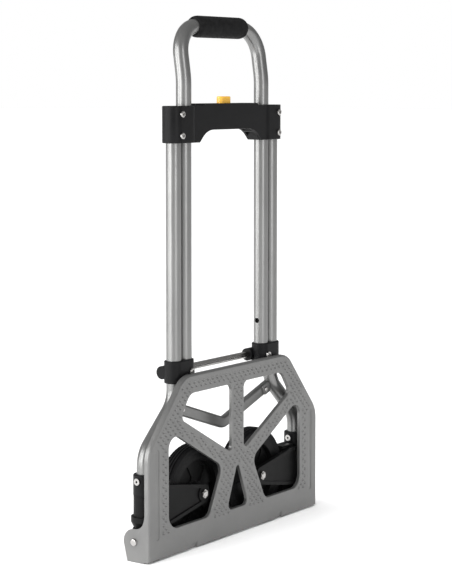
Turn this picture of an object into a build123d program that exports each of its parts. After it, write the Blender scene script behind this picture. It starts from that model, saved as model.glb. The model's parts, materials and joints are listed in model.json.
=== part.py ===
"""Folding luggage cart, modelled folded flat and standing on the ears of its toe plate.

Millimetres. +X is the cart's width, -Y is its front (the underside of the folded toe plate), +Z is up.
The origin is on the floor, under the middle of the cart. Both tube pairs lie in the plane Y = 0.
Everything that comes in pairs is built on the +X side and mirrored to the other.
"""

import os
from math import cos, pi, radians, sin, sqrt, tan

from build123d import *

os.makedirs("parts", exist_ok=True)

# ---------------------------------------------------------------- driving dimensions
TUBE_R = 11.0  # outside radius of all four uprights
TUBE_WALL = 1.2
HANDLE_X = 96.5  # handle legs
FRAME_X = HANDLE_X + 2 * TUBE_R + 2.0  # frame tubes, beside the legs
FOOT_X = 188.5  # frame tubes below their flare
SLIDE_GAP = 0.3  # radial clearance of plastic sliding on tube
PIN_GAP = 0.05  # radial clearance of a pin in its bore

PLATE_HALF = 212.0
PLATE_FRONT = -26.5
PLATE_BOTTOM = 2.0
PLATE_TOP = 252.5
SHEET = 2.0
RIM_DEPTH = 8.0
LIP_DEPTH = 5.5
BEND_R = 3.0  # outside radius of the turned rim
LIP_R = 1.4
CHANNEL_X = 193.0
CHANNEL_WIDTH = 9.0
CHANNEL_DEPTH = 0.7
CHANNEL_LOW = 30.0
CHANNEL_HIGH = 158.0
GUSSET_X = 108.0
GUSSET_WIDTH = 15.0
EAR_R = 18.5  # rounding of the plate's ear about the hinge
EAR_BACK = 12.0
EAR_STEP = 5.0  # the ear clears the bottom bend by this height

HINGE_Z = 28.5  # toe plate hinge, on the frame tube's axis
WHEEL_R = 71.0
WHEEL_X = 73.5  # axle when folded
WHEEL_Y = 4.0  # middle of the tread when folded
WHEEL_Z = HINGE_Z + PLATE_FRONT + WHEEL_R  # unfolded wheel and toe plate stand level

CLAMP_BOTTOM = 91.5
CLAMP_TOP = 121.0
CLAMP_RIVET_Z = 112.0

FLARE_LOW_Z = 148.0
FLARE_HIGH_Z = 211.5
FLARE_BEND = 40.0

CARRIAGE_BOTTOM = 239.5
CARRIAGE_TOP = 271.7
CARRIAGE_R = 14.0
CROSS_ROD_R = 5.0
CROSS_ROD_Y = 14.0
CROSS_ROD_Z = 254.0
BARREL_R = 9.5

BRACKET_R = 16.0
BRACKET_BOTTOM = 581.0
BRACKET_TOP = 633.5
BRACKET_CROWN = 636.5  # raised middle of the bracket
BRACKET_BACK = 11.0  # back of the middle
BRACKET_SEAM = -11.8  # front cover meets housing
ARCH_HALF = 77.0
ARCH_TOP = 598.6
SHELL = 2.5

LOCK_Z = 606.5
LOCK_R = 3.5
HANDLE_TRAVEL = 300.0

GRIP_Z = 747.0
GRIP_Y = 10.5
GRIP_R = 16.0
GRIP_HALF = 59.5
HANDLE_BEND = 42.0
LEAN_Z = 672.0

BUTTON_WIDTH = 24.0
BUTTON_DEPTH = 11.0
BUTTON_TOP = 646.5
BUTTON_STEM_Z = 614.5
SPRING_LENGTH = 12.0

BARREL_INNER = 79.0
BARREL_LENGTH = 52.0
ROD_HALF = 88.0
CLAMP_R = 15.8

GEAR_TEETH = 16
GEAR_R = 16.0  # pitch radius at the large end; the cones meet at 45 degrees
GEAR_SMALL_R = 13.2
MODULE = 2 * GEAR_R / GEAR_TEETH
ADDENDUM = 0.75 * MODULE
ROOT_DEPTH = 1.05 * MODULE
BACKLASH = 0.6

BOLT_R = 4.0
SCREW_R = 2.0
SCREW_ZS = (591.5, 622.0)  # screws of the upper bracket
CARRIAGE_SCREW_Z = CROSS_ROD_Z + 0.7

ARM_FRONT = -18.0
ARM_BACK = -10.5
ARM_RIM = 5.0
HUB_R = 15.4
COLLAR_R = 19.0  # widest part of the arm's hub, above the gear
ROOT_BACK = 8.0  # back of the block that fills the corner between wheel and hub
ROOT_OUT = 17.0  # distance of the block from the hub's axis
ROOT_BOTTOM = 22.0
ROOT_TOP = 105.0
WHEEL_GAP = 3.5
HUB_GAP = 0.5  # between the turning hub and the fixed clamp
TYRE_WIDTH = 24.0
RIM_R = 58.0
SPOKES = 6
RECESS = 2.0  # depth between the spokes

BRACE_END = (119.0, 203.5)
BRACE_LOW_Z = 163.0
BRACE_HEIGHT = 17.0
BRACE_DEPTH = 10.0
BRACE_Y = 3.0
BRACE_RIVET = (105.0, 199.0)


def save(part, name):
    """Writes one sub-part as its own STEP file."""
    part.label = name
    export_step(part, f"parts/{name}.step")


def save_pair(part, name):
    """Writes the +X piece and its mirror image."""
    save(part, f"{name}_right")
    save(part.mirror(Plane.YZ), f"{name}_left")


def save_both(part, name):
    """Writes the +X piece and its mirror image as one node of separate solids."""
    save(Compound(children=[*part.solids(), *part.mirror(Plane.YZ).solids()]), name)


def facing_front(y):
    """A sketch plane at depth y, with x along +X, y along +Z and its normal towards the front."""
    return Plane(origin=(0, y, 0), x_dir=(1, 0, 0), z_dir=(0, -1, 0))


def facing_out(x):
    """A sketch plane at width x, with x along +Y, y along +Z and its normal towards +X."""
    return Plane(origin=(x, 0, 0), x_dir=(0, 1, 0), z_dir=(1, 0, 0))


def rounded(points, radii):
    """A face through the points, each corner rounded to its own radius. Called inside BuildSketch."""
    with BuildLine() as outline:
        Polyline(*points, close=True)
    make_face(outline.line)
    for point, radius in zip(points, radii):
        if radius:
            fillet(vertices().sort_by_distance(Vector(*point))[0], radius)


def tube_pair(radius):
    """A closed stadium about a handle leg and its frame tube. Called inside BuildSketch."""
    with Locations((HANDLE_X, 0), (FRAME_X, 0)):
        Circle(radius)
    with Locations(((HANDLE_X + FRAME_X) / 2, 0)):
        Rectangle(FRAME_X - HANDLE_X, 2 * radius)


# ---------------------------------------------------------------- tubes
def frame_tube():
    """Upright that flares outwards near the bottom to carry the wheel and the toe plate's hinge."""
    bottom = HINGE_Z - 12.5
    with BuildPart() as tube:
        with BuildLine():
            path = FilletPolyline(
                (FOOT_X, 0, bottom),
                (FOOT_X, 0, FLARE_LOW_Z),
                (FRAME_X, 0, FLARE_HIGH_Z),
                (FRAME_X, 0, BRACKET_TOP - 6),
                radius=FLARE_BEND,
            )
        with BuildSketch(Plane(origin=path @ 0, z_dir=path % 0)):
            Circle(TUBE_R)
            Circle(TUBE_R - TUBE_WALL, mode=Mode.SUBTRACT)
        sweep(path=path)
        # holes for the hinge pin, the clamp's rivet and the bracket's screws
        with BuildSketch(facing_out(FOOT_X - 2 * TUBE_R)):
            with Locations((0, HINGE_Z)):
                Circle(BOLT_R + 0.3)
            with Locations((0, CLAMP_RIVET_Z)):
                Circle(2.5)
        extrude(amount=4 * TUBE_R, mode=Mode.SUBTRACT)
        with BuildSketch(facing_front(0)):
            with Locations(*[(FRAME_X, z) for z in SCREW_ZS]):
                Circle(SCREW_R + 0.1)
        extrude(amount=2 * TUBE_R, mode=Mode.SUBTRACT)
    return tube.part


def handle_tube():
    """Telescoping U, its top leaned back, with two pairs of latch holes on the inner sides."""
    with BuildPart() as tube:
        with BuildLine():
            path = FilletPolyline(
                (-HANDLE_X, 0, CARRIAGE_BOTTOM + 6.5),
                (-HANDLE_X, 0, LEAN_Z),
                (-HANDLE_X, GRIP_Y, GRIP_Z),
                (HANDLE_X, GRIP_Y, GRIP_Z),
                (HANDLE_X, 0, LEAN_Z),
                (HANDLE_X, 0, CARRIAGE_BOTTOM + 6.5),
                radius=[120, HANDLE_BEND, HANDLE_BEND, 120],
            )
        with BuildSketch(Plane(origin=path @ 0, z_dir=path % 0)):
            Circle(TUBE_R)
            Circle(TUBE_R - TUBE_WALL, mode=Mode.SUBTRACT)
        sweep(path=path)
        with BuildSketch(facing_out(-HANDLE_X)):
            with Locations((0, LOCK_Z), (0, LOCK_Z - HANDLE_TRAVEL)):
                Circle(LOCK_R + 0.4)
        extrude(amount=2 * HANDLE_X, mode=Mode.SUBTRACT)
        with BuildSketch(facing_front(0)):
            with Locations((-HANDLE_X, CARRIAGE_SCREW_Z), (HANDLE_X, CARRIAGE_SCREW_Z)):
                Circle(SCREW_R + 0.1)
        extrude(amount=2 * TUBE_R, mode=Mode.SUBTRACT)
    return tube.part


def handle_plug():
    """Plug that closes a handle leg and gives its screw something to bite."""
    with BuildPart() as plug:
        with BuildSketch(Plane.XY.offset(CARRIAGE_BOTTOM + 6.5)):
            with Locations((HANDLE_X, 0)):
                Circle(TUBE_R - TUBE_WALL - 0.05)
        extrude(amount=16)
        with BuildSketch(facing_front(0)):
            with Locations((HANDLE_X, CARRIAGE_SCREW_Z)):
                Circle(SCREW_R + 0.1)
        extrude(amount=TUBE_R, mode=Mode.SUBTRACT)
        chamfer(plug.edges().group_by(Axis.Z)[-1], 1.0)
    return plug.part


def hand_grip():
    """Foam sleeve over the top of the handle."""
    with BuildPart() as grip:
        with BuildSketch(Plane(origin=(-GRIP_HALF, GRIP_Y, GRIP_Z), z_dir=(1, 0, 0))):
            Circle(GRIP_R)
            Circle(TUBE_R + 0.4, mode=Mode.SUBTRACT)
        extrude(amount=2 * GRIP_HALF)
        ends = grip.edges().filter_by(GeomType.CIRCLE).sort_by(SortBy.RADIUS)[-2:]
        fillet(ends, 3.5)
    return grip.part


# ---------------------------------------------------------------- cross brace
def v_brace():
    """Flattened tube bent to a shallow V, its ends fitted to the frame tubes at their flare."""
    with BuildPart() as brace:
        with BuildLine():
            path = FilletPolyline(
                (-BRACE_END[0], BRACE_Y, BRACE_END[1]),
                (0, BRACE_Y, BRACE_LOW_Z),
                (BRACE_END[0], BRACE_Y, BRACE_END[1]),
                radius=22,
            )
        with BuildSketch(Plane(origin=path @ 0, x_dir=(0, 1, 0), z_dir=path % 0)):
            RectangleRounded(BRACE_DEPTH, BRACE_HEIGHT, 3.5)
            RectangleRounded(BRACE_DEPTH - 3, BRACE_HEIGHT - 3, 2.0, mode=Mode.SUBTRACT)
        sweep(path=path)
        for side in (-1, 1):
            with BuildLine():
                axis = FilletPolyline(
                    (side * FOOT_X, 0, FLARE_LOW_Z - 40),
                    (side * FOOT_X, 0, FLARE_LOW_Z),
                    (side * FRAME_X, 0, FLARE_HIGH_Z),
                    (side * FRAME_X, 0, FLARE_HIGH_Z + 60),
                    radius=FLARE_BEND,
                )
            with BuildSketch(Plane(origin=axis @ 0, z_dir=axis % 0)):
                Circle(TUBE_R + 0.05)
            sweep(path=axis, mode=Mode.SUBTRACT)
        with BuildSketch(facing_front(0)):
            with Locations((-BRACE_RIVET[0], BRACE_RIVET[1]), BRACE_RIVET):
                Circle(SCREW_R + 0.1)
        extrude(amount=2 * TUBE_R, mode=Mode.SUBTRACT)
    return brace.part.solids().sort_by(SortBy.VOLUME)[-1]


def brace_lug():
    """Small plate welded to the frame tube; the brace's end is riveted to it."""
    face = BRACE_Y - BRACE_DEPTH / 2
    with BuildPart() as lug:
        with BuildSketch(facing_front(face)):
            with Locations((BRACE_RIVET[0] + 2, BRACE_RIVET[1] + 0.5)):
                RectangleRounded(19, 15, 4, rotation=18)
            with Locations(BRACE_RIVET):
                Circle(SCREW_R + 0.1, mode=Mode.SUBTRACT)
        extrude(amount=2.0)
    return lug.part


def brace_rivet():
    """Domed rivet through lug and brace."""
    face = BRACE_Y - BRACE_DEPTH / 2 - 2.0
    with BuildPart() as rivet:
        with BuildSketch(Plane(origin=(BRACE_RIVET[0], face, BRACE_RIVET[1]), z_dir=(0, -1, 0))):
            Circle(4.0)
        extrude(amount=1.8)
        fillet(rivet.faces().sort_by(Axis.Y)[0].edges(), 1.5)
        with BuildSketch(Plane(origin=(BRACE_RIVET[0], face, BRACE_RIVET[1]), z_dir=(0, 1, 0))):
            Circle(2.0)
        extrude(amount=4.5)
    return rivet.part


# ---------------------------------------------------------------- upper bracket
def arch():
    """The arch under the middle of the upper bracket. Called inside BuildSketch."""
    low = BRACKET_BOTTOM - 1
    foot = ARCH_HALF + 1
    spring = foot - (ARCH_TOP - low)
    rounded([(-foot, low), (foot, low), (spring, ARCH_TOP), (-spring, ARCH_TOP)], [0, 0, 36, 36])


def bracket_housing():
    """Rear half of the crossbar that clamps the frame tubes and guides the handle legs."""
    height = BRACKET_TOP - BRACKET_BOTTOM
    with BuildPart() as housing:
        with BuildSketch(Plane.XY.offset(BRACKET_BOTTOM)):
            tube_pair(BRACKET_R)
            mirror(about=Plane.YZ)
            Rectangle(2 * HANDLE_X, 2 * BRACKET_BACK)
        extrude(amount=height)
        # raised crown over the middle
        with BuildSketch(facing_front(BRACKET_BACK)):
            with Locations((0, BRACKET_CROWN - 4)):
                Trapezoid(150, 8, 40)
        extrude(amount=2 * BRACKET_BACK)
        # everything in front of the seam belongs to the cover
        with BuildSketch(facing_front(BRACKET_SEAM)):
            with Locations((0, (BRACKET_BOTTOM + BRACKET_CROWN) / 2)):
                Rectangle(400, 100)
        extrude(amount=20, mode=Mode.SUBTRACT)
        rims = housing.edges().filter_by(GeomType.CIRCLE).group_by(Axis.Z)
        fillet(rims[0] + rims[-1].filter_by(lambda edge: edge.radius > TUBE_R), 1.5)
        with BuildSketch(Plane.XY.offset(BRACKET_BOTTOM)):
            with Locations((HANDLE_X, 0), (-HANDLE_X, 0)):
                Circle(TUBE_R + SLIDE_GAP)
        extrude(amount=height, mode=Mode.SUBTRACT)
        with BuildSketch(Plane.XY.offset(BRACKET_BOTTOM)):
            with Locations((FRAME_X, 0), (-FRAME_X, 0)):
                Circle(TUBE_R + PIN_GAP)
        extrude(amount=height - 5.9, mode=Mode.SUBTRACT)
        with BuildSketch(facing_front(0)):
            with Locations(*[(side * FRAME_X, z) for side in (-1, 1) for z in SCREW_ZS]):
                Circle(SCREW_R + 0.1)
        extrude(amount=20, mode=Mode.SUBTRACT)
        # arch, with pockets between ribs on each of its flanks
        with BuildSketch(facing_front(20)):
            arch()
        extrude(amount=40, mode=Mode.SUBTRACT)
        with BuildSketch(Plane.XY.offset(BRACKET_BOTTOM)):
            with Locations(*[(side * x, -0.5) for side in (-1, 1) for x in (47.5, 57.5, 67.5)]):
                Rectangle(7.5, 2 * BRACKET_BACK - 6)
        extrude(amount=ARCH_TOP - BRACKET_BOTTOM, mode=Mode.SUBTRACT)
        # room for the latch, closed in front by the cover
        cavity_bottom = ARCH_TOP + SHELL
        with BuildSketch(facing_front(BRACKET_BACK - SHELL)):
            with Locations((0, (cavity_bottom + BRACKET_TOP - SHELL) / 2)):
                Rectangle(140, BRACKET_TOP - SHELL - cavity_bottom)
        extrude(amount=BRACKET_BACK - SHELL - BRACKET_SEAM, mode=Mode.SUBTRACT)
        with BuildSketch(facing_out(-HANDLE_X)):
            with Locations((0, LOCK_Z)):
                Circle(LOCK_R + 0.3)
        extrude(amount=2 * HANDLE_X, mode=Mode.SUBTRACT)
        # slot for the button
        with BuildSketch(Plane.XY.offset(cavity_bottom + 2)):
            RectangleRounded(BUTTON_WIDTH + 0.8, BUTTON_DEPTH + 0.8, 4)
        extrude(amount=BRACKET_CROWN, mode=Mode.SUBTRACT)
    return housing.part


def bracket_cover():
    """Front shell of the crossbar: thick ends over the tubes and a slightly recessed middle."""
    with BuildPart() as cover:
        with BuildSketch(Plane.XY.offset(BRACKET_BOTTOM)):
            tube_pair(BRACKET_R)
            mirror(about=Plane.YZ)
            with Locations((0, BRACKET_SEAM)):
                Rectangle(2 * HANDLE_X, 2 * (BRACKET_R - 1.5 + BRACKET_SEAM))
            with Locations((0, BRACKET_SEAM + 50)):
                Rectangle(400, 100, mode=Mode.SUBTRACT)
        extrude(amount=BRACKET_TOP - BRACKET_BOTTOM)
        with BuildSketch(facing_front(BRACKET_SEAM)):
            with Locations((0, BRACKET_CROWN - 4)):
                Trapezoid(150, 8, 40)
        extrude(amount=BRACKET_R - 1.5 + BRACKET_SEAM)
        with BuildSketch(facing_front(0)):
            arch()
        extrude(amount=40, mode=Mode.SUBTRACT)
        front = cover.faces().sort_by(Axis.Y)[:2]
        fillet(front.edges(), 1.0)
        with BuildSketch(facing_front(BRACKET_SEAM + 1)):
            with Locations(*[(side * FRAME_X, z) for side in (-1, 1) for z in SCREW_ZS]):
                Circle(SCREW_R + 0.1)
        extrude(amount=20, mode=Mode.SUBTRACT)
    return cover.part


def pan_screw(x, face, z, length):
    """Pan-head screw entering a front face, with a hexagon socket."""
    with BuildPart() as screw:
        with BuildSketch(Plane(origin=(x, face, z), x_dir=(1, 0, 0), z_dir=(0, -1, 0))):
            Circle(4.8)
        extrude(amount=2.6)
        fillet(screw.faces().sort_by(Axis.Y)[0].edges(), 1.4)
        with BuildSketch(Plane(origin=(x, face - 2.6, z), x_dir=(1, 0, 0), z_dir=(0, -1, 0))):
            RegularPolygon(2.0, 6)
        extrude(amount=-1.8, mode=Mode.SUBTRACT)
        with BuildSketch(Plane(origin=(x, face, z), x_dir=(1, 0, 0), z_dir=(0, -1, 0))):
            Circle(SCREW_R)
        extrude(amount=-length)
    return screw.part


def release_button():
    """Push button in the bracket's crown, with a retaining flange and a hollow stem."""
    flange_top = BRACKET_TOP - SHELL - 0.3
    with BuildPart() as button:
        with BuildSketch(Plane.XY.offset(flange_top - 2.5)):
            RectangleRounded(BUTTON_WIDTH, BUTTON_DEPTH, 3.6)
        extrude(amount=BUTTON_TOP - flange_top + 2.5)
        fillet(button.faces().sort_by(Axis.Z)[-1].edges(), 1.8)
        with BuildSketch(Plane.XY.offset(flange_top - 2.5)):
            RectangleRounded(BUTTON_WIDTH + 6, BUTTON_DEPTH, 1)
        extrude(amount=2.5)
        with BuildSketch(Plane.XY.offset(BUTTON_STEM_Z)):
            Circle(4.2)
            Circle(3.0, mode=Mode.SUBTRACT)
        extrude(amount=flange_top - 2.5 - BUTTON_STEM_Z)
    return button.part


def button_spring():
    """Coil spring inside the button's stem, standing on the floor of the latch room."""
    floor = ARCH_TOP + SHELL
    with BuildPart() as spring:
        with BuildLine(Plane.XY.offset(floor + 0.5)):
            path = Helix(pitch=2.2, height=SPRING_LENGTH - 1, radius=2.2)
        with BuildSketch(Plane(origin=path @ 0, z_dir=path % 0)):
            Circle(0.35)
        sweep(path=path, is_frenet=True)
    return spring.part


def lock_pin():
    """Latch pin for a handle leg, with the flat bar that the button's wedge draws inwards."""
    tip = HANDLE_X - TUBE_R - 0.35
    with BuildPart() as pin:
        with BuildSketch(facing_out(62)):
            with Locations((0, LOCK_Z)):
                Circle(LOCK_R)
        extrude(amount=tip - 62)
        chamfer(pin.faces().sort_by(Axis.X)[-1].edges(), 1.2)
        with BuildSketch(facing_front(2.5)):
            with Locations((38, LOCK_Z)):
                Rectangle(48, 6)
        extrude(amount=5)
    return pin.part


# ---------------------------------------------------------------- sliding carriage of the handle
def carriage():
    """Plastic block at the foot of a handle leg: fixed to the leg, sliding on the frame tube."""
    height = CARRIAGE_TOP - CARRIAGE_BOTTOM
    with BuildPart() as block:
        with BuildSketch(Plane.XY.offset(CARRIAGE_BOTTOM)):
            tube_pair(CARRIAGE_R)
        extrude(amount=height)
        rims = block.edges().filter_by(Plane.XY)
        fillet(rims, 1.5)
        with BuildSketch(facing_out(BARREL_INNER)):
            with Locations((CROSS_ROD_Y, CROSS_ROD_Z)):
                Circle(BARREL_R)
        extrude(amount=BARREL_LENGTH)
        with BuildSketch(Plane.XY.offset(CARRIAGE_BOTTOM)):
            with Locations((FRAME_X, 0)):
                Circle(TUBE_R + SLIDE_GAP)
        extrude(amount=height, mode=Mode.SUBTRACT)
        with BuildSketch(Plane.XY.offset(CARRIAGE_BOTTOM + 6.5)):
            with Locations((HANDLE_X, 0)):
                Circle(TUBE_R + PIN_GAP)
        extrude(amount=height, mode=Mode.SUBTRACT)
        with BuildSketch(facing_out(BARREL_INNER)):
            with Locations((CROSS_ROD_Y, CROSS_ROD_Z)):
                Circle(CROSS_ROD_R + PIN_GAP)
        extrude(amount=ROD_HALF + 0.2 - BARREL_INNER, mode=Mode.SUBTRACT)
        with BuildSketch(facing_front(0)):
            with Locations((HANDLE_X, CARRIAGE_SCREW_Z)):
                Circle(SCREW_R + 0.1)
        extrude(amount=2 * TUBE_R, mode=Mode.SUBTRACT)
    return block.part


def cross_rod():
    """Rod that ties the two carriages together behind the handle."""
    with BuildPart() as rod:
        with BuildSketch(facing_out(-ROD_HALF)):
            with Locations((CROSS_ROD_Y, CROSS_ROD_Z)):
                Circle(CROSS_ROD_R)
        extrude(amount=2 * ROD_HALF)
        chamfer(rod.edges().filter_by(GeomType.CIRCLE), 0.6)
    return rod.part


# ---------------------------------------------------------------- bevel gears of the fold
def bevel_teeth(axis, angles):
    """Straight bevel teeth about an axis through the hinge point. Called inside BuildPart."""
    apex = Vector(FOOT_X, 0, HINGE_Z)
    first, second = (Vector(1, 0, 0), Vector(0, 1, 0)) if axis.Z else (Vector(0, 1, 0), Vector(0, 0, 1))
    slope = tan(radians(20))
    half = (pi * MODULE / 2 - BACKLASH) / 2
    for angle in angles:
        radial = first * cos(radians(angle)) + second * sin(radians(angle))
        along = (axis + radial).normalized()
        ends = []
        for radius in (GEAR_SMALL_R, GEAR_R):
            scale = radius / GEAR_R
            section = Plane(origin=apex + along * radius * sqrt(2), x_dir=axis.cross(radial), z_dir=along)
            tip = (half - ADDENDUM * slope) * scale
            root = (half + ROOT_DEPTH * slope) * scale
            with BuildSketch(section) as tooth:
                with BuildLine():
                    Polyline(
                        (-tip, -ADDENDUM * scale),
                        (tip, -ADDENDUM * scale),
                        (root, (ROOT_DEPTH + 0.4) * scale),
                        (-root, (ROOT_DEPTH + 0.4) * scale),
                        close=True,
                    )
                make_face()
            ends.append(tooth.sketch)
        loft(ends, ruled=True)


def cone_points():
    """Small and large end of the root cone, as distance along the gear's axis and radius."""
    drop = ROOT_DEPTH / sqrt(2)
    small = GEAR_SMALL_R / GEAR_R
    return (
        (GEAR_SMALL_R + drop * small, GEAR_SMALL_R - drop * small),
        (GEAR_R + drop, GEAR_R - drop),
    )


def plate_gear():
    """Gear fixed inside the toe plate's ear, concentric with the hinge."""
    (near, near_r), (far, far_r) = cone_points()
    back = PLATE_HALF - SHEET - FOOT_X
    bore = BOLT_R + PIN_GAP
    with BuildPart() as gear:
        with BuildSketch(Plane(origin=(FOOT_X, 0, HINGE_Z), x_dir=(1, 0, 0), z_dir=(0, -1, 0))):
            with BuildLine():
                teeth_end = [(near, bore), (near, near_r), (far, far_r)]
                Polyline(*teeth_end, (back, far_r), (back, bore), close=True)
            make_face()
        revolve(axis=Axis((FOOT_X, 0, HINGE_Z), (1, 0, 0)))
        pitch = 360 / GEAR_TEETH
        bevel_teeth(Vector(1, 0, 0), [90 + pitch * (0.5 - k) for k in range(6)])
    return gear.part


# ---------------------------------------------------------------- wheel arms
def wheel_arm():
    """Moulded arm: a hub turning on the frame tube, gear teeth at its foot and a tapered blade."""
    (near, near_r), (far, far_r) = cone_points()
    bore = TUBE_R + SLIDE_GAP
    blade = [
        (WHEEL_X - 13, WHEEL_Z - 12),
        (FOOT_X - 36, HINGE_Z + 15),
        (FOOT_X - 17, HINGE_Z + 15),
        (FOOT_X - 17, CLAMP_BOTTOM + 10),
        (FOOT_X - 30, CLAMP_BOTTOM + 10),
        (WHEEL_X - 13, WHEEL_Z + 11),
    ]
    radii = [10, 14, 3, 3, 14, 10]
    with BuildPart() as arm:
        with BuildSketch(Plane(origin=(FOOT_X, 0, 0), x_dir=(1, 0, 0), z_dir=(0, -1, 0))):
            with BuildLine():
                Polyline(
                    (bore, HINGE_Z + near),
                    (near_r, HINGE_Z + near),
                    (far_r, HINGE_Z + far),
                    (HUB_R, HINGE_Z + far + 0.5),
                    (COLLAR_R, HINGE_Z + far + 8),
                    (COLLAR_R, HINGE_Z + far + 15.5),
                    (HUB_R, HINGE_Z + far + 15.5),
                    (HUB_R, CLAMP_BOTTOM - HUB_GAP),
                    (bore, CLAMP_BOTTOM - HUB_GAP),
                    close=True,
                )
            make_face()
        revolve(axis=Axis((FOOT_X, 0, 0), (0, 0, 1)))
        pitch = 360 / GEAR_TEETH
        bevel_teeth(Vector(0, 0, 1), [pitch * k for k in range(-1, 6)])
        with BuildSketch(facing_front(ARM_BACK)):
            rounded(blade, radii)
        extrude(amount=ARM_BACK - ARM_FRONT)
        # deep root block that follows the wheel, and the web that joins it to the hub
        with BuildSketch(facing_front(ROOT_BACK)):
            with Locations(((WHEEL_X + 45 + FOOT_X - ROOT_OUT) / 2, (ROOT_BOTTOM + ROOT_TOP) / 2)):
                Rectangle(FOOT_X - ROOT_OUT - WHEEL_X - 45, ROOT_TOP - ROOT_BOTTOM)
            with Locations((WHEEL_X, WHEEL_Z)):
                Circle(WHEEL_R + WHEEL_GAP, mode=Mode.SUBTRACT)
        extrude(amount=ROOT_BACK - ARM_BACK)
        with BuildSketch(facing_front(ROOT_BACK)):
            with Locations((FOOT_X - 16, (HINGE_Z + far + 6 + CLAMP_BOTTOM - HUB_GAP) / 2)):
                Rectangle(22, CLAMP_BOTTOM - HUB_GAP - HINGE_Z - far - 6)
        extrude(amount=18)
        # axle boss behind the tip
        with BuildSketch(facing_front(WHEEL_Y - TYRE_WIDTH / 2 - 0.3)):
            with Locations((WHEEL_X, WHEEL_Z)):
                Circle(9)
        extrude(until=Until.NEXT)
        # recessed panel inside a raised rim
        with BuildSketch(facing_front(ARM_FRONT + 2)):
            rounded(blade, radii)
            offset(amount=-ARM_RIM)
            with Locations((WHEEL_X, WHEEL_Z)):
                Circle(11, mode=Mode.SUBTRACT)
        extrude(amount=5, mode=Mode.SUBTRACT)
        with BuildSketch(facing_front(20)):
            with Locations((WHEEL_X, WHEEL_Z)):
                Circle(BOLT_R + PIN_GAP)
        extrude(amount=60, mode=Mode.SUBTRACT)
        # tube bore, and clearance round the clamp above the hub
        with BuildSketch(Plane.XY.offset(HINGE_Z)):
            with Locations((FOOT_X, 0)):
                Circle(bore)
        extrude(amount=100, mode=Mode.SUBTRACT)
        with BuildSketch(Plane.XY.offset(CLAMP_BOTTOM - HUB_GAP)):
            with Locations((FOOT_X, 0)):
                Circle(17.2)
        extrude(amount=40, mode=Mode.SUBTRACT)
    return arm.part


def wheel_section(points):
    """Revolves a profile, given as radius and depth, about the folded wheel's axle, inside BuildPart."""
    centre = Plane(origin=(WHEEL_X, WHEEL_Y, WHEEL_Z), x_dir=(1, 0, 0), z_dir=(0, 0, 1))
    with BuildSketch(centre) as section:
        with BuildLine():
            Polyline(*points, close=True)
        make_face()
    revolve(section.sketch, axis=Axis((WHEEL_X, WHEEL_Y, WHEEL_Z), (0, 1, 0)))


def tyre():
    """Solid rubber tyre with a crowned, grooved tread."""
    half = TYRE_WIDTH / 2
    grooves = [-7.2, -2.4, 2.4, 7.2]
    side = [(RIM_R, half - 1.5), (RIM_R + 4, half - 0.4), (WHEEL_R - 4, half), (WHEEL_R - 1.6, half - 1.6)]
    outline = [(radius, -depth) for radius, depth in side]
    for depth in grooves:
        top = WHEEL_R - 0.5 * (depth / half) ** 2
        outline += [(top, depth - 1), (top - 1.6, depth - 0.5)]
        outline += [(top - 1.6, depth + 0.5), (top, depth + 1)]
    outline += reversed(side)
    with BuildPart() as rubber:
        wheel_section(outline)
    return rubber.part


def rim():
    """Moulded rim with a hub and a web recessed between its spokes on both faces."""
    half = TYRE_WIDTH / 2
    with BuildPart() as wheel:
        wheel_section([
            (BOLT_R + PIN_GAP, -half),
            (12, -half),
            (13, -half + 1),
            (14, -3),
            (46, -3),
            (48, -half + 2),
            (RIM_R, -half + 1.5),
            (RIM_R, half - 1.5),
            (48, half - 2),
            (46, 3),
            (14, 3),
            (13, half - 1),
            (12, half),
            (BOLT_R + PIN_GAP, half),
        ])
        for face, outwards in ((WHEEL_Y - 3, -1), (WHEEL_Y + 3, 1)):
            with BuildSketch(facing_front(face)):
                with Locations((WHEEL_X, WHEEL_Z)):
                    with PolarLocations(30, SPOKES):
                        RectangleRounded(24, 15, 5)
            extrude(amount=outwards * RECESS, mode=Mode.SUBTRACT)
    return wheel.part


def axle_bolt():
    """Axle through wheel and arm, with its flat head behind the wheel."""
    back = WHEEL_Y + TYRE_WIDTH / 2 + 0.3
    with BuildPart() as bolt:
        with BuildSketch(Plane(origin=(WHEEL_X, back, WHEEL_Z), z_dir=(0, 1, 0))):
            Circle(8)
        extrude(amount=2.2)
        fillet(bolt.faces().sort_by(Axis.Y)[-1].edges(), 1.2)
        with BuildSketch(Plane(origin=(WHEEL_X, back, WHEEL_Z), z_dir=(0, -1, 0))):
            Circle(BOLT_R)
        extrude(amount=back - ARM_FRONT + 1.8)
    return bolt.part


def cap_nut():
    """Hexagonal cap nut over the axle's front end."""
    with BuildPart() as nut:
        with BuildSketch(Plane(origin=(WHEEL_X, ARM_FRONT, WHEEL_Z), z_dir=(0, -1, 0))):
            RegularPolygon(6.6, 6)
        extrude(amount=3.0)
        with BuildSketch(Plane(origin=(WHEEL_X, ARM_FRONT - 3.0, WHEEL_Z), z_dir=(0, -1, 0))):
            Circle(4.8)
        extrude(amount=1.6)
        fillet(nut.faces().sort_by(Axis.Y)[0].edges(), 1.4)
        with BuildSketch(Plane(origin=(WHEEL_X, ARM_FRONT, WHEEL_Z), z_dir=(0, -1, 0))):
            Circle(BOLT_R + PIN_GAP)
        extrude(amount=2.2, mode=Mode.SUBTRACT)
    return nut.part


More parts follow.
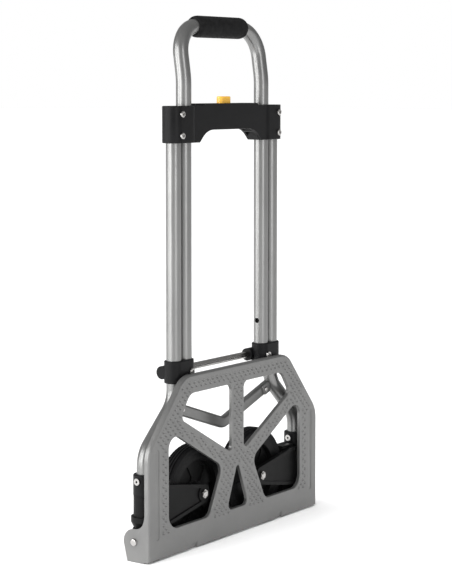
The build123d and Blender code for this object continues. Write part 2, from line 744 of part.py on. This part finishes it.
# ---------------------------------------------------------------- feet
def clamp():
    """Fixed plastic collar above the turning hub."""
    with BuildPart() as collar:
        with BuildSketch(Plane.XY.offset(CLAMP_BOTTOM)):
            with Locations((FOOT_X, 0)):
                Circle(CLAMP_R)
        extrude(amount=CLAMP_TOP - CLAMP_BOTTOM)
        fillet(collar.edges().sort_by(Axis.Z)[-1], 2.0)
        # flats for the rivet heads
        with BuildSketch(facing_out(FOOT_X)):
            with Locations((0, CLAMP_RIVET_Z)):
                Circle(5.4)
        extrude(amount=CLAMP_R - 0.4, both=True)
        with BuildSketch(Plane.XY.offset(CLAMP_BOTTOM)):
            with Locations((FOOT_X, 0)):
                Circle(TUBE_R + PIN_GAP)
        extrude(amount=CLAMP_TOP, mode=Mode.SUBTRACT)
        with BuildSketch(facing_out(FOOT_X - 30)):
            with Locations((0, CLAMP_RIVET_Z)):
                Circle(2.5)
        extrude(amount=60, mode=Mode.SUBTRACT)
    return collar.part


def clamp_rivet():
    """Tubular rivet through collar and tube, with a rolled head at each end."""
    with BuildPart() as rivet:
        with BuildSketch(facing_out(FOOT_X)):
            with Locations((0, CLAMP_RIVET_Z)):
                Circle(2.4)
        extrude(amount=CLAMP_R + 1.5, both=True)
        for side in (-1, 1):
            with BuildSketch(facing_out(FOOT_X + side * (CLAMP_R + 1.0))):
                with Locations((0, CLAMP_RIVET_Z)):
                    Circle(4.8)
            extrude(amount=0.9, both=True)
        with BuildSketch(facing_out(FOOT_X)):
            with Locations((0, CLAMP_RIVET_Z)):
                Circle(1.6)
        extrude(amount=CLAMP_R + 5, both=True, mode=Mode.SUBTRACT)
    return rivet.part


def foot_plug():
    """Plastic plug in the foot of a frame tube, bored for the hinge pin."""
    bottom = HINGE_Z - 12.5
    with BuildPart() as plug:
        with BuildSketch(Plane.XY.offset(bottom)):
            with Locations((FOOT_X, 0)):
                Circle(TUBE_R - TUBE_WALL - PIN_GAP)
        extrude(amount=28)
        with BuildSketch(Plane.XY.offset(bottom - 2)):
            with Locations((FOOT_X, 0)):
                Circle(TUBE_R)
        extrude(amount=2)
        with BuildSketch(facing_out(FOOT_X - 20)):
            with Locations((0, HINGE_Z)):
                Circle(BOLT_R + PIN_GAP)
        extrude(amount=40, mode=Mode.SUBTRACT)
    return plug.part


def hinge_pin():
    """Hinge pin through tube, plug, gear and ear, with a domed head outside and a flat head inside."""
    with BuildPart() as pin:
        with BuildSketch(facing_out(FOOT_X - TUBE_R - 0.3)):
            with Locations((0, HINGE_Z)):
                Circle(BOLT_R)
        extrude(amount=PLATE_HALF + 0.2 - FOOT_X + TUBE_R + 0.3)
        with BuildSketch(facing_out(PLATE_HALF + 0.2)):
            with Locations((0, HINGE_Z)):
                Circle(5.4)
        extrude(amount=2.6)
        fillet(pin.faces().sort_by(Axis.X)[-1].edges(), 2.0)
        with BuildSketch(facing_out(FOOT_X - TUBE_R - 0.3)):
            with Locations((0, HINGE_Z)):
                Circle(6.5)
        extrude(amount=-2.0)
    return pin.part


def hinge_washer():
    """Washer between the frame tube and the plate's gear."""
    with BuildPart() as washer:
        with BuildSketch(facing_out(FOOT_X + TUBE_R + 0.1)):
            with Locations((0, HINGE_Z)):
                Circle(8.5)
                Circle(BOLT_R + 0.1, mode=Mode.SUBTRACT)
        extrude(amount=cone_points()[0][0] - TUBE_R - 0.4)
    return washer.part


# ---------------------------------------------------------------- toe plate
def plate_outline():
    """Outline of the toe plate. Called inside BuildSketch."""
    shoulder, crown = 156, 131
    rounded(
        [
            (-PLATE_HALF, PLATE_BOTTOM),
            (PLATE_HALF, PLATE_BOTTOM),
            (PLATE_HALF, shoulder),
            (crown, PLATE_TOP),
            (-crown, PLATE_TOP),
            (-PLATE_HALF, shoulder),
        ],
        [0, 0, 40, 38, 38, 40],
    )


OPENINGS = (
    # corner points on the +X side, and the rounding of each corner
    (((71, 40), (166, 40), (166, 181), (38, 108)), (15, 20, 16, 15)),
    (((15.2, 124.5), (138.5, 193), (116, 226), (15.2, 226)), (6, 10, 20, 10)),
)
TRIANGLE = (((0, 110), (-27, 40), (27, 40)), (4, 8, 8))


def all_openings():
    """Corner points and roundings of all five openings."""
    yield TRIANGLE
    for points, radii in OPENINGS:
        yield points, radii
        yield tuple((-x, z) for x, z in points), radii


def toe_plate():
    """Pressed sheet with a turned rim, five lipped openings and an ear at each foot for the hinge."""
    back = PLATE_FRONT + SHEET
    with BuildPart() as plate:
        with BuildSketch(facing_front(back)):
            plate_outline()
        extrude(amount=SHEET)
        with BuildSketch(facing_front(PLATE_FRONT + RIM_DEPTH)):
            plate_outline()
            with BuildSketch(mode=Mode.PRIVATE) as inner:
                plate_outline()
                offset(amount=-SHEET)
            add(inner.sketch, mode=Mode.SUBTRACT)
        extrude(amount=RIM_DEPTH)
        fillet(plate.faces().sort_by(Axis.Y)[0].edges(), BEND_R)
        for points, radii in all_openings():
            with BuildSketch(facing_front(PLATE_FRONT + LIP_DEPTH)):
                rounded(points, radii)
                offset(amount=SHEET)
            extrude(amount=LIP_DEPTH)
            with BuildSketch(facing_front(0)):
                rounded(points, radii)
            extrude(amount=40, mode=Mode.SUBTRACT)
        front = plate.faces().filter_by(Axis.Y).sort_by(Axis.Y)[0]
        fillet(front.inner_wires().edges(), LIP_R)
        # shallow channels pressed down both edges
        with BuildSketch(facing_front(PLATE_FRONT)):
            with Locations(*[(side * CHANNEL_X, (CHANNEL_LOW + CHANNEL_HIGH) / 2) for side in (-1, 1)]):
                SlotOverall(CHANNEL_HIGH - CHANNEL_LOW, CHANNEL_WIDTH, rotation=90)
        extrude(amount=-CHANNEL_DEPTH, mode=Mode.SUBTRACT)
        # gussets pressed into the bottom bend: a wedge inside, then the dent in front of it
        for side in (-1, 1):
            with BuildSketch(facing_out(side * GUSSET_X)):
                with BuildLine():
                    Polyline(
                        (back - 0.5, PLATE_BOTTOM + SHEET - 0.5),
                        (back + 5, PLATE_BOTTOM + SHEET - 0.5),
                        (back - 0.5, PLATE_BOTTOM + 14),
                        close=True,
                    )
                make_face()
            extrude(amount=GUSSET_WIDTH / 2 + SHEET, both=True)
            with BuildSketch(facing_out(side * GUSSET_X)):
                with BuildLine():
                    Polyline(
                        (PLATE_FRONT - 1, PLATE_BOTTOM - 1),
                        (PLATE_FRONT + 4, PLATE_BOTTOM - 1),
                        (PLATE_FRONT - 1, PLATE_BOTTOM + 11),
                        close=True,
                    )
                make_face()
            extrude(amount=GUSSET_WIDTH / 2, both=True, mode=Mode.SUBTRACT)
        # ears
        for side in (-1, 1):
            with BuildSketch(facing_out(side * (PLATE_HALF - SHEET / 2))):
                with BuildLine():
                    front = PLATE_FRONT + BEND_R + 1
                    top = (0, HINGE_Z + EAR_R)
                    tail = (EAR_R * cos(radians(-20)), HINGE_Z + EAR_R * sin(radians(-20)))
                    Polyline(
                        tail,
                        (EAR_BACK, 0),
                        (PLATE_FRONT + RIM_DEPTH, 0),
                        (PLATE_FRONT + RIM_DEPTH, EAR_STEP),
                        (front, EAR_STEP),
                        (front, HINGE_Z + 40),
                        (PLATE_FRONT + RIM_DEPTH, HINGE_Z + 40),
                    )
                    Spline((PLATE_FRONT + RIM_DEPTH, HINGE_Z + 40), top, tangents=((0.05, -1), (1, 0)))
                    ThreePointArc(top, (EAR_R * cos(radians(35)), HINGE_Z + EAR_R * sin(radians(35))), tail)
                make_face()
                with Locations((0, HINGE_Z)):
                    Circle(BOLT_R + PIN_GAP, mode=Mode.SUBTRACT)
            extrude(amount=SHEET / 2, both=True)
    return plate.part


# ---------------------------------------------------------------- write everything
save_pair(frame_tube(), "frame_tube")
save(handle_tube(), "handle_tube")
save_pair(handle_plug(), "handle_plug")
save(hand_grip(), "hand_grip")
save(v_brace(), "v_brace")
save_both(brace_lug(), "brace_lugs")
save_both(brace_rivet(), "brace_rivets")
save(bracket_housing(), "bracket_housing")
save(bracket_cover(), "bracket_cover")
for level, height in zip(("lower", "upper"), SCREW_ZS):
    save_both(pan_screw(FRAME_X, -BRACKET_R, height, 7.0), f"bracket_screws_{level}")
save(release_button(), "release_button")
save(button_spring(), "button_spring")
save_pair(lock_pin(), "lock_pin")
save_pair(carriage(), "carriage")
save_both(pan_screw(HANDLE_X, -CARRIAGE_R, CARRIAGE_SCREW_Z, 10.0), "carriage_screws")
save(cross_rod(), "cross_rod")
save_pair(plate_gear(), "plate_gear")
save_pair(wheel_arm(), "wheel_arm")
save_pair(tyre(), "tyre")
save_pair(rim(), "rim")
save_pair(axle_bolt(), "axle_bolt")
save_pair(cap_nut(), "cap_nut")
save_pair(clamp(), "clamp")
save_pair(clamp_rivet(), "clamp_rivet")
save_pair(foot_plug(), "foot_plug")
save_pair(hinge_pin(), "hinge_pin")
save_pair(hinge_washer(), "hinge_washer")
save(toe_plate(), "toe_plate")
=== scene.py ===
"""Folding luggage cart, folded flat, on a pale studio floor."""

import json
from math import cos, pi, radians, sin, sqrt

import bmesh
import bpy
from mathutils import Matrix, Vector, noise
from mathutils.bvhtree import BVHTree


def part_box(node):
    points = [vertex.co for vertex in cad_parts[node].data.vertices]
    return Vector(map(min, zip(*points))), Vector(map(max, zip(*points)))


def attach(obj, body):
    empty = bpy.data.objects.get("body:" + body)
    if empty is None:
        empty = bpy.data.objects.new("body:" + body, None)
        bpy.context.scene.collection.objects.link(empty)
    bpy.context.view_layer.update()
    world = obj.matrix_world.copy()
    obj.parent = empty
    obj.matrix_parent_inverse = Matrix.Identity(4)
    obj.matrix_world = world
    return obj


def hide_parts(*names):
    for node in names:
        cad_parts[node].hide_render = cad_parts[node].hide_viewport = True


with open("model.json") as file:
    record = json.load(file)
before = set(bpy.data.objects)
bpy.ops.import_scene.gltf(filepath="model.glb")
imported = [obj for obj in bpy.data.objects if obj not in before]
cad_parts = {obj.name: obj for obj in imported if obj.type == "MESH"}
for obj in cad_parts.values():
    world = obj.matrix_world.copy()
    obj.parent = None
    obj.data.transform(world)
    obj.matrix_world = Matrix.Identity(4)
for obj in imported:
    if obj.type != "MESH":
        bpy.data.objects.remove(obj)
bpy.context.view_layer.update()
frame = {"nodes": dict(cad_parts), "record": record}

MM = 0.001


# ---------------------------------------------------------------- camera, light and floor
CAMERA_AT = Vector((-2.0648, -1.4996, 0.6608))
CAMERA_YAW = 54.09  # degrees to the right of +Y
CAMERA_DOWN = 3.88  # degrees below the horizon
CAMERA_LENS = 107.16
CAMERA_SHIFT = -0.15


def make_camera():
    data = bpy.data.cameras.new("photo_camera")
    data.lens = CAMERA_LENS
    data.sensor_width = 36
    data.shift_y = CAMERA_SHIFT
    data.clip_end = 50
    camera = bpy.data.objects.new("photo_camera", data)
    camera.location = CAMERA_AT
    camera.rotation_euler = (radians(90 - CAMERA_DOWN), 0, radians(-CAMERA_YAW))
    bpy.context.collection.objects.link(camera)
    bpy.context.scene.camera = camera


BOX_DISTANCE = 3.2
BOX_HEIGHT = 2.6
BOX_LIFT = 0.5  # middle of each soft box above the point it faces
BOX_AIM = Vector((0, 0, 0.4))
DOME_ENERGY = 3.7
DOME_ANGLE = radians(90)
DOME_TRAVEL = Vector((1.3, 0.2, -2.0))
SURROUND_LEVEL = 0.3
BACKDROP_LEVEL = 1.0
FLOOR_HALF = 40.0


def soft_box(name, bearing, width, power):
    """A tall soft box facing the cart's middle, at a bearing in degrees from +X."""
    data = bpy.data.lights.new(name, "AREA")
    data.shape = "RECTANGLE"
    data.size = width
    data.size_y = BOX_HEIGHT
    data.energy = power
    light = bpy.data.objects.new(name, data)
    turn = radians(bearing)
    light.location = BOX_AIM + Vector((BOX_DISTANCE * cos(turn), BOX_DISTANCE * sin(turn), BOX_LIFT))
    light.rotation_euler = (BOX_AIM - light.location).to_track_quat("-Z", "Y").to_euler()
    bpy.context.collection.objects.link(light)


def overhead_dome():
    """A very wide, soft light from above, kept out of reflections."""
    data = bpy.data.lights.new("overhead_dome", "SUN")
    data.energy = DOME_ENERGY
    data.angle = DOME_ANGLE
    light = bpy.data.objects.new("overhead_dome", data)
    light.rotation_euler = DOME_TRAVEL.to_track_quat("-Z", "Y").to_euler()
    light.visible_glossy = False
    bpy.context.collection.objects.link(light)


def studio_surround():
    """Grey surroundings for light and reflections, which the camera itself sees as white."""
    world = bpy.data.worlds.new("studio")
    world.use_nodes = True
    nodes = world.node_tree.nodes
    links = world.node_tree.links
    nodes["Background"].inputs["Color"].default_value = (1, 1, 1, 1)
    seen = nodes.new("ShaderNodeLightPath").outputs["Is Camera Ray"]
    level = nodes.new("ShaderNodeMapRange")
    level.inputs["To Min"].default_value = SURROUND_LEVEL
    level.inputs["To Max"].default_value = BACKDROP_LEVEL
    links.new(seen, level.inputs["Value"])
    links.new(level.outputs["Result"], nodes["Background"].inputs["Strength"])
    bpy.context.scene.world = world


def make_light():
    soft_box("left_box", bearing=171, width=1.4, power=66)
    soft_box("right_box", bearing=250, width=0.9, power=30)
    soft_box("flank_box", bearing=138, width=1.4, power=60)
    overhead_dome()
    studio_surround()
    bpy.context.scene.view_settings.view_transform = "Standard"


def make_floor():
    mesh = bpy.data.meshes.new("studio_floor")
    half = FLOOR_HALF
    corners = [(-half, -half, 0), (half, -half, 0), (half, half, 0), (-half, half, 0)]
    mesh.from_pydata(corners, [], [(0, 1, 2, 3)])
    floor = bpy.data.objects.new("studio_floor", mesh)
    bpy.context.collection.objects.link(floor)
    shade = Shade("floor_paper", (0.94, 0.94, 0.94), 0.9, specular=0.1)
    shade.vary(shade.fractal((2, 2, 2)), (0.935, 0.935, 0.935), (0.945, 0.945, 0.945))
    mesh.materials.append(shade.material)


# ---------------------------------------------------------------- materials
COAT_ROUGHNESS = 0.1
NOISE_ROUGHNESS = 0.55
NOISE_LOW = 0.3  # texture values that give the low and the high end
NOISE_HIGH = 0.7


class Shade:
    """A Principled material whose detail comes from procedural nodes in the object's own coordinates."""

    def __init__(self, name, color, roughness, metallic=0.0, coat=0.0, specular=0.5, sheen=0.0):
        self.material = bpy.data.materials.new(name)
        self.material.use_nodes = True
        self.nodes = self.material.node_tree.nodes
        self.links = self.material.node_tree.links
        self.shader = self.nodes["Principled BSDF"]
        self.place = self.nodes.new("ShaderNodeTexCoord").outputs["Object"]
        inputs = self.shader.inputs
        inputs["Base Color"].default_value = (*color, 1)
        inputs["Roughness"].default_value = roughness
        inputs["Metallic"].default_value = metallic
        inputs["Coat Weight"].default_value = coat
        inputs["Coat Roughness"].default_value = COAT_ROUGHNESS
        inputs["Specular IOR Level"].default_value = specular
        inputs["Sheen Weight"].default_value = sheen

    def mapped(self, scale):
        mapping = self.nodes.new("ShaderNodeMapping")
        mapping.inputs["Scale"].default_value = scale
        self.links.new(self.place, mapping.inputs["Vector"])
        return mapping.outputs["Vector"]

    def fractal(self, scale, detail=3.0):
        node = self.nodes.new("ShaderNodeTexNoise")
        node.inputs["Scale"].default_value = 1.0
        node.inputs["Detail"].default_value = detail
        node.inputs["Roughness"].default_value = NOISE_ROUGHNESS
        self.links.new(self.mapped(scale), node.inputs["Vector"])
        return node.outputs["Fac"]

    def cells(self, scale):
        node = self.nodes.new("ShaderNodeTexVoronoi")
        node.inputs["Scale"].default_value = 1.0
        self.links.new(self.mapped(scale), node.inputs["Vector"])
        return node.outputs["Distance"]

    def vary(self, value, dark, light):
        ramp = self.nodes.new("ShaderNodeValToRGB")
        ramp.color_ramp.elements[0].position = NOISE_LOW
        ramp.color_ramp.elements[1].position = NOISE_HIGH
        ramp.color_ramp.elements[0].color = (*dark, 1)
        ramp.color_ramp.elements[1].color = (*light, 1)
        self.links.new(value, ramp.inputs["Fac"])
        self.links.new(ramp.outputs["Color"], self.shader.inputs["Base Color"])

    def rough(self, value, low, high):
        node = self.nodes.new("ShaderNodeMapRange")
        node.inputs["From Min"].default_value = NOISE_LOW
        node.inputs["From Max"].default_value = NOISE_HIGH
        node.inputs["To Min"].default_value = low
        node.inputs["To Max"].default_value = high
        self.links.new(value, node.inputs["Value"])
        self.links.new(node.outputs["Result"], self.shader.inputs["Roughness"])

    def bump(self, value, depth, strength=1.0):
        node = self.nodes.new("ShaderNodeBump")
        node.inputs["Distance"].default_value = depth
        node.inputs["Strength"].default_value = strength
        self.links.new(value, node.inputs["Height"])
        self.links.new(node.outputs["Normal"], self.shader.inputs["Normal"])


def satin_tube():
    """Anodised tube: fine upright lines, a faint mottling and slightly uneven gloss."""
    shade = Shade("satin_tube", (0.21, 0.21, 0.21), 0.32, metallic=0.8)
    drawn = shade.fractal((1400, 1400, 14), detail=4)
    mottle = shade.fractal((35, 35, 9), detail=4)
    shade.vary(mottle, (0.195, 0.195, 0.193), (0.222, 0.222, 0.219))
    shade.rough(drawn, 0.27, 0.35)
    shade.bump(drawn, 0.002 * MM)
    return shade.material


def plate_coat():
    """Grey coat on the pressed toe plate, with fine orange peel and faintly cloudy colour and gloss."""
    shade = Shade("plate_coat", (0.25, 0.25, 0.25), 0.4, metallic=0.7)
    cloud = shade.fractal((22, 22, 22), detail=5)
    shade.vary(cloud, (0.162, 0.162, 0.16), (0.193, 0.193, 0.19))
    shade.rough(cloud, 0.3, 0.42)
    shade.bump(shade.fractal((900, 900, 900), detail=2), 0.04 * MM)
    return shade.material


def black_plastic(name, dark, light, grain, low, high):
    """Moulded black plastic: a fine grain, and patches between two colours and two roughnesses."""
    shade = Shade(name, light, high, specular=0.11)
    worn = shade.fractal((30, 30, 30), detail=4)
    shade.vary(worn, dark, light)
    shade.rough(worn, low, high)
    shade.bump(shade.fractal((grain, grain, grain), detail=3), 0.06 * MM)
    return shade.material


def tyre_rubber():
    """Matt rubber with a chalky bloom and a fine moulded texture."""
    shade = Shade("tyre_rubber", (0.004, 0.004, 0.0044), 0.7, specular=0.15)
    bloom = shade.fractal((60, 60, 60), detail=5)
    shade.vary(bloom, (0.003, 0.003, 0.0033), (0.007, 0.007, 0.0074))
    shade.rough(bloom, 0.5, 0.75)
    shade.bump(shade.fractal((1800, 1800, 1800)), 0.05 * MM)
    return shade.material


def foam_skin():
    """Black foam: fine pores, a mottled colour and a faint sheen."""
    shade = Shade("foam_skin", (0.005, 0.005, 0.0052), 0.75, specular=0.14, sheen=0.01)
    pores = shade.cells((900, 900, 900))
    shade.vary(shade.fractal((140, 140, 140), detail=5), (0.003, 0.003, 0.0032), (0.009, 0.009, 0.0094))
    shade.rough(pores, 0.65, 0.9)
    shade.bump(pores, 0.12 * MM, 0.8)
    return shade.material


def zinc_steel():
    """Zinc-plated steel with a faint crystalline mottling and uneven gloss."""
    shade = Shade("zinc_steel", (0.44, 0.43, 0.42), 0.26, metallic=1.0)
    flakes = shade.cells((700, 700, 700))
    shade.vary(flakes, (0.41, 0.40, 0.39), (0.46, 0.45, 0.44))
    shade.rough(shade.fractal((300, 300, 300)), 0.18, 0.28)
    shade.bump(flakes, 0.004 * MM)
    return shade.material


def button_plastic():
    """Amber moulded plastic, a little uneven in colour."""
    shade = Shade("button_plastic", (0.75, 0.40, 0.03), 0.35, coat=0.2)
    cloud = shade.fractal((120, 120, 120), detail=3)
    shade.vary(cloud, (0.68, 0.36, 0.02), (0.80, 0.44, 0.04))
    shade.rough(cloud, 0.28, 0.42)
    shade.bump(shade.fractal((1500, 1500, 1500)), 0.03 * MM)
    return shade.material


def make_materials():
    return {
        "tube": satin_tube(),
        "plate": plate_coat(),
        "gear": black_plastic(
            "gear_nylon", (0.010, 0.010, 0.0105), (0.018, 0.018, 0.0185), grain=1200, low=0.35, high=0.5),
        "black_plastic": black_plastic(
            "moulded_black", (0.004, 0.004, 0.0043), (0.008, 0.008, 0.0085), grain=1500, low=0.34, high=0.48),
        "arm_plastic": black_plastic(
            "arm_black", (0.003, 0.003, 0.0032), (0.006, 0.006, 0.006), grain=1300, low=0.38, high=0.52),
        "tread": tyre_rubber(),
        "foam": foam_skin(),
        "steel": zinc_steel(),
        "button": button_plastic(),
    }


def paint_nodes(materials):
    """Gives every CAD node the material of its slot in the record."""
    for part in frame["record"]["subparts"]:
        node = frame["nodes"][part["node"]]
        node.data.materials.clear()
        node.data.materials.append(materials[part["material_slot"]])


# ---------------------------------------------------------------- foam grip
GRIP_SIDES = 128
GRIP_RINGS = 220
GRIP_END = 11 * MM  # length of each rounded end
GRIP_END_POWER = 2.4  # higher is squarer
GRIP_CLEARANCE = 0.3 * MM  # between the foam and the handle bar
GRIP_SKIN = 0.14 * MM  # height of the foam's lumps
LUMP_SIZE = 2.2 * MM
CELL_SIZE = 0.9 * MM
CELL_SHARE = 0.6  # of the small cells beside the large lumps
LUMP_GAIN = 0.6  # keeps the highest lump within the skin
SKIN_FADE = 2 * MM  # the lumps die away over this height near the bore


def linked(name, mesh):
    piece = bpy.data.objects.new(name, mesh)
    bpy.context.collection.objects.link(piece)
    return piece


def foam_grip(material):
    """Foam sleeve round the handle bar, with full rounded ends and a lumpy skin."""
    low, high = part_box("hand_grip")
    bar_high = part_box("handle_tube")[1]
    half = (high[0] - low[0]) / 2
    radius = (high[2] - low[2]) / 2
    bore = bar_high[1] - (low[1] + high[1]) / 2 + GRIP_CLEARANCE
    centre = Vector((0, (low[1] + high[1]) / 2, (low[2] + high[2]) / 2))
    rise = radius - GRIP_SKIN - bore
    bm = bmesh.new()
    rings = []
    for i in range(GRIP_RINGS + 1):
        turn = pi * i / GRIP_RINGS
        x = -half * cos(turn)
        into = max(0, (abs(x) - half + GRIP_END) / GRIP_END)
        reach = bore + rise * sqrt(max(0, 1 - into ** GRIP_END_POWER))
        ring = []
        for k in range(GRIP_SIDES):
            angle = 2 * pi * k / GRIP_SIDES
            at = Vector((x, reach * cos(angle), reach * sin(angle)))
            lumps = noise.noise(at / LUMP_SIZE) + CELL_SHARE * noise.noise(at / CELL_SIZE)
            swell = GRIP_SKIN * lumps * LUMP_GAIN * min(1, (reach - bore) / SKIN_FADE)
            ring.append(bm.verts.new(centre + at + Vector((0, cos(angle), sin(angle))) * swell))
        rings.append(ring)
    rings.append(rings[0])
    for a, b in zip(rings, rings[1:]):
        for k in range(GRIP_SIDES):
            n = (k + 1) % GRIP_SIDES
            bm.faces.new((a[k], a[n], b[n], b[k]))
    bmesh.ops.recalc_face_normals(bm, faces=bm.faces)
    mesh = bpy.data.meshes.new("foam_grip")
    bm.to_mesh(mesh)
    bm.free()
    mesh.polygons.foreach_set("use_smooth", [True] * len(mesh.polygons))
    mesh.materials.append(material)
    grip = linked("foam_grip", mesh)
    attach(grip, "handle")
    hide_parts("hand_grip")


# ---------------------------------------------------------------- treaded toe plate
TREAD_PITCH_X = 11 * MM
TREAD_PITCH_Z = 5.5 * MM
TREAD_FROM_Z = 38 * MM  # the band below it is smooth
DENT_HALF_LENGTH = 3.4 * MM
DENT_HALF_WIDTH = 2.3 * MM
DENT_DEPTH = 1.0 * MM
DENT_LEAN = radians(32)
DENT_MARGIN = 4.6 * MM  # clear flat metal round each dent's centre
DENT_AROUND = 8  # points tested on that margin
FLAT_WITHIN = 0.02 * MM
WELD_WITHIN = 0.001 * MM
SHARP_FROM = radians(28)


def dent_places(tree, low, high):
    """Centres of the staggered dents whose whole surround is flat front face."""
    front = low[1]
    turns = [2 * pi * k / DENT_AROUND for k in range(DENT_AROUND)]
    ring = [(DENT_MARGIN * cos(turn), DENT_MARGIN * sin(turn)) for turn in turns]
    places = []
    rows = int((high[2] - TREAD_FROM_Z) / TREAD_PITCH_Z)
    columns = int((high[0] - low[0]) / TREAD_PITCH_X)
    for row in range(rows + 1):
        z = TREAD_FROM_Z + row * TREAD_PITCH_Z
        for column in range(columns + 1):
            x = low[0] + (column + 0.5 * (row % 2)) * TREAD_PITCH_X
            around = [(x, z)] + [(x + across, z + up) for across, up in ring]
            hits = [tree.ray_cast(Vector((u, front - 1, w)), Vector((0, 1, 0)))[0] for u, w in around]
            if all(hit and abs(hit.y - front) < FLAT_WITHIN for hit in hits):
                places.append(Vector((x, front, z)))
    return places


def dent_cutter(places):
    """One mesh of lens-shaped cutters, all leaning the same way."""
    size = Matrix.Diagonal((DENT_HALF_LENGTH, DENT_DEPTH, DENT_HALF_WIDTH, 1))
    lens = Matrix.Rotation(DENT_LEAN, 4, "Y") @ size
    bm = bmesh.new()
    bmesh.ops.create_uvsphere(bm, u_segments=16, v_segments=10, radius=1, matrix=lens)
    bm.verts.index_update()
    corners = [vert.co.copy() for vert in bm.verts]
    sides = [[vert.index for vert in face.verts] for face in bm.faces]
    bm.free()
    points = [place + corner for place in places for corner in corners]
    faces = [[k * len(corners) + i for i in side] for k in range(len(places)) for side in sides]
    mesh = bpy.data.meshes.new("dent_cutter")
    mesh.from_pydata(points, [], faces)
    return linked("dent_cutter", mesh)


def treaded_plate(material):
    """The toe plate with its pressed tread, cut into a welded copy of the CAD plate."""
    node = frame["nodes"]["toe_plate"]
    low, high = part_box("toe_plate")
    bm = bmesh.new()
    bm.from_mesh(node.data)
    bmesh.ops.remove_doubles(bm, verts=bm.verts, dist=WELD_WITHIN)
    tree = BVHTree.FromBMesh(bm)
    mesh = bpy.data.meshes.new("treaded_plate")
    bm.to_mesh(mesh)
    bm.free()
    plate = linked("treaded_plate", mesh)
    cutter = dent_cutter(dent_places(tree, low, high))
    cut = plate.modifiers.new("tread", "BOOLEAN")
    cut.operation = "DIFFERENCE"
    cut.solver = "MANIFOLD"
    cut.object = cutter
    pressed = bpy.data.meshes.new_from_object(plate.evaluated_get(bpy.context.evaluated_depsgraph_get()))
    plate.modifiers.remove(cut)
    plate.data = pressed
    bpy.data.objects.remove(cutter)
    pressed.polygons.foreach_set("use_smooth", [True] * len(pressed.polygons))
    pressed.set_sharp_from_angle(angle=SHARP_FROM)
    flat = plate.modifiers.new("flat_faces", "WEIGHTED_NORMAL")
    flat.weight = 100
    flat.keep_sharp = True
    pressed.materials.clear()
    pressed.materials.append(material)
    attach(plate, "toe_plate")
    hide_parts("toe_plate")


# ---------------------------------------------------------------- the scene
make_camera()
make_light()
make_floor()
materials = make_materials()
paint_nodes(materials)
foam_grip(materials["foam"])
treaded_plate(materials["plate"])
